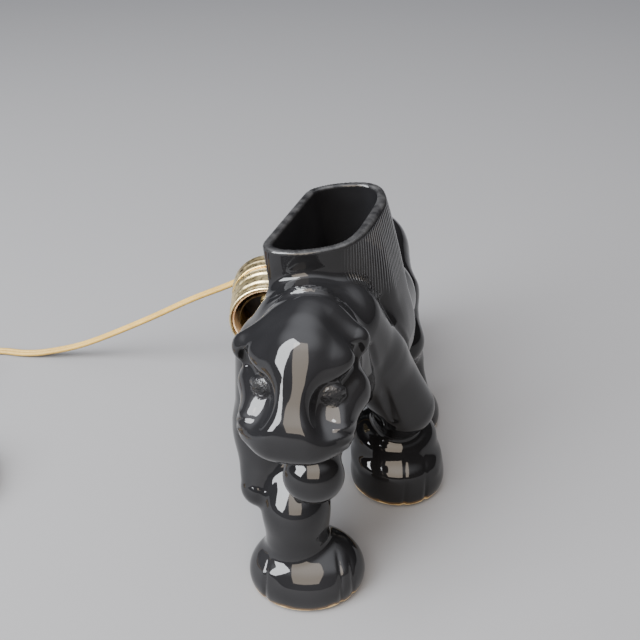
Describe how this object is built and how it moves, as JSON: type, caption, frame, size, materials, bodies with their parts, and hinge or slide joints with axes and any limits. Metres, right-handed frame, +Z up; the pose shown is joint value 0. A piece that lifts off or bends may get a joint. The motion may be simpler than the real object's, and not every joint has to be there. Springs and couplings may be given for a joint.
{
  "type": "tv lamp",
  "caption": "Glazed pottery panther television lamp with a planter in its back, a lamp socket on a bracket behind it, and a flat cord with a thumb-wheel switch and plug.",
  "frame": {"origin": "on the surface that the lamp stands on, below the middle of the box around the lamp without its cord", "axes": "+Z is up. The panther walks towards -X, its display side faces -Y, and the socket is behind it at +Y."},
  "size_m": [0.28, 0.3343, 0.15],
  "materials": {
    "black_glaze": "mirror-gloss black glaze, bare buff clay at the foot",
    "foot_felt": "thin ochre felt",
    "gilt_metal": "pale gilt plated sheet, satin",
    "board": "tan fibre board, matte",
    "phenolic": "black moulded phenolic",
    "contact_brass": "bare brass, slightly dulled",
    "zinc_steel": "zinc plated",
    "gold_cord": "translucent gold vinyl over two stranded cores",
    "brown_plastic": "dark brown moulded plastic, satin"
  },
  "bodies": {
    "lamp": {"ceramic_panther": "black_glaze", "felt_pad_front_right": "foot_felt", "felt_pad_front_left": "foot_felt", "felt_pad_hind_left": "foot_felt", "felt_pad_hind_right": "foot_felt", "socket_shell": "gilt_metal", "shell_liner": "board", "socket_cap": "gilt_metal", "cap_insulator": "board", "socket_core": "phenolic", "screw_shell": "contact_brass", "centre_contact": "contact_brass", "terminal_screw_a": "contact_brass", "terminal_screw_b": "contact_brass", "hub_set_screw": "zinc_steel", "socket_nipple": "zinc_steel", "nipple_washer": "board", "nipple_locknut": "zinc_steel", "cord_bushing": "phenolic", "socket_bracket": "zinc_steel", "outer_washer": "board", "bracket_bolt": "zinc_steel", "inner_washer": "board", "bracket_nut": "zinc_steel", "cord_lead": "gold_cord", "cord_link": "gold_cord", "cord_coil": "gold_cord", "cord_tail": "gold_cord", "switch_base": "brown_plastic", "switch_cover": "brown_plastic", "switch_screw": "contact_brass", "switch_contact_a": "contact_brass", "switch_contact_b": "contact_brass", "plug_body": "brown_plastic", "plug_blade_a": "contact_brass", "plug_blade_b": "contact_brass"},
    "switch_wheel": {"switch_wheel": "phenolic"}
  },
  "joints": [
    {"name": "switch_wheel_turn", "type": "hinge", "parent": "lamp", "child": "switch_wheel", "pos_m": [-0.0387, 0.2529, 0.0078], "axis": [0, 0, 1], "continuous": true}
  ]
}
